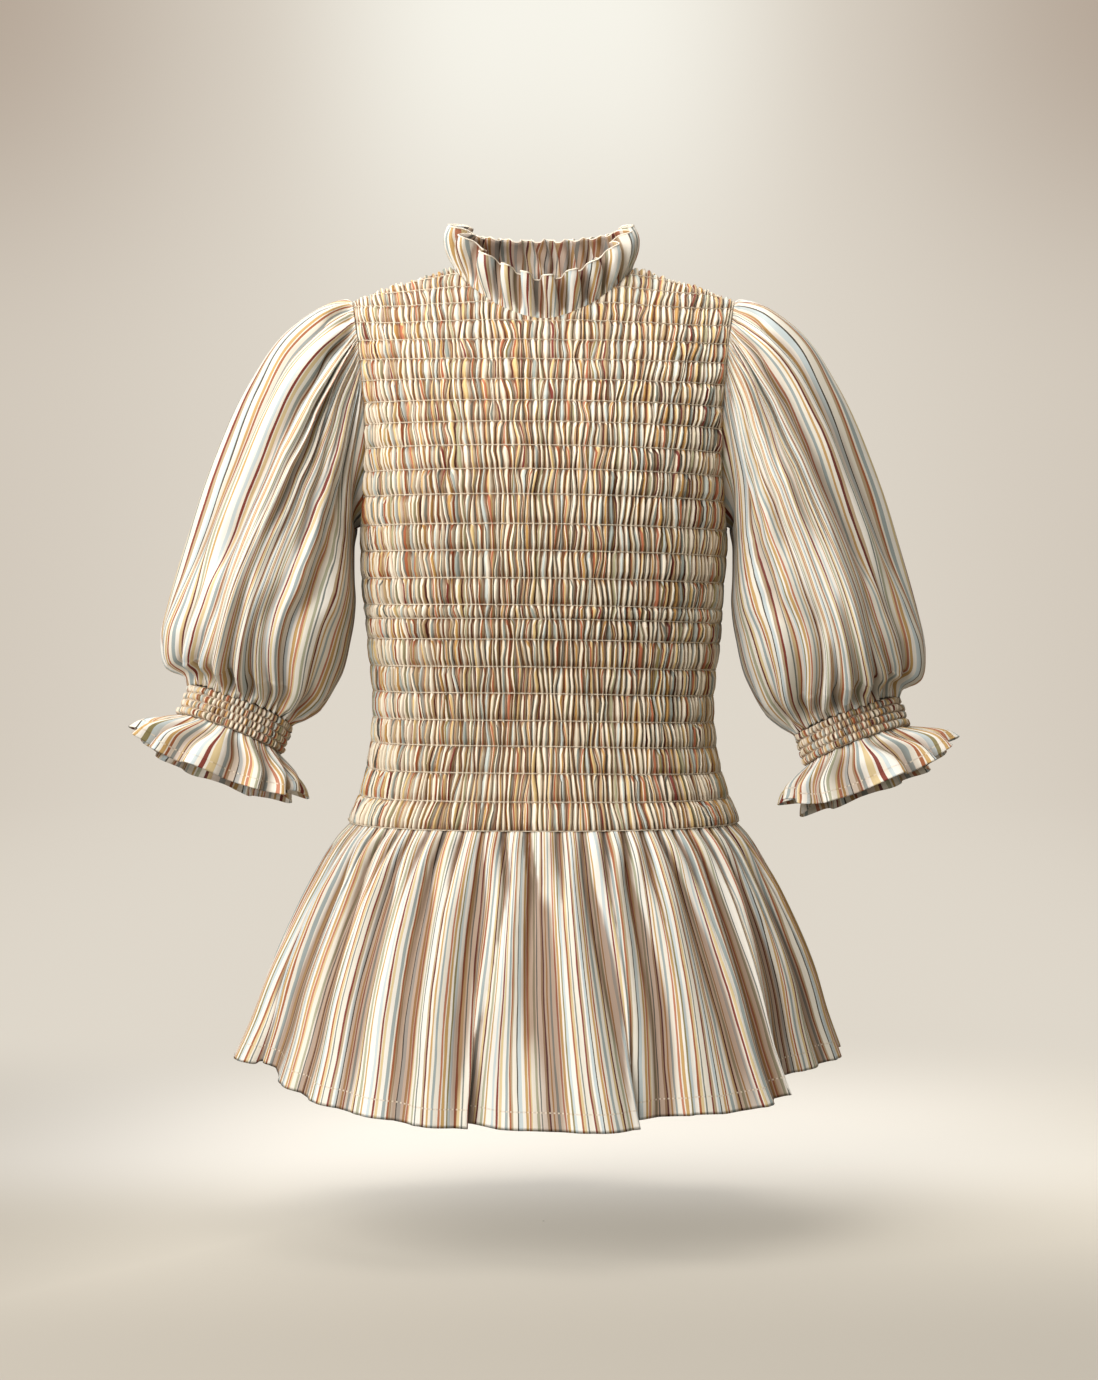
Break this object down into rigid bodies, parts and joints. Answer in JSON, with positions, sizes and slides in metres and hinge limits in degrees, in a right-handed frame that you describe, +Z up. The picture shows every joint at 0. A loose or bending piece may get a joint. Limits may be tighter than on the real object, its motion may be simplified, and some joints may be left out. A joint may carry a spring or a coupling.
{
  "type": "blouse",
  "caption": "Hollow smocked blouse with a ruffled stand collar, balloon sleeves on shirred cuffs with ruffles, and a flared gathered peplum, as worn.",
  "frame": {"origin": "middle of the neckline, level with its high points at the two shoulder seams, where the shoulders carry the blouse", "axes": "+Z up, -Y out of the front, +X towards the wearer's left"},
  "size_m": [0.697, 0.3923, 0.7391],
  "materials": {
    "striped_cotton": "cream cotton with fine lengthwise stripes, soft sheen",
    "smocked_cotton": "the same striped cotton, shirred in rows"
  },
  "bodies": {
    "root": {"bodice_front": "smocked_cotton", "bodice_back": "smocked_cotton", "collar_ruffle": "striped_cotton", "peplum_front": "striped_cotton", "peplum_back": "striped_cotton", "sleeve_left": "striped_cotton", "sleeve_right": "striped_cotton", "cuff_left": "smocked_cotton", "cuff_right": "smocked_cotton", "cuff_ruffle_left": "striped_cotton", "cuff_ruffle_right": "striped_cotton"}
  },
  "joints": []
}
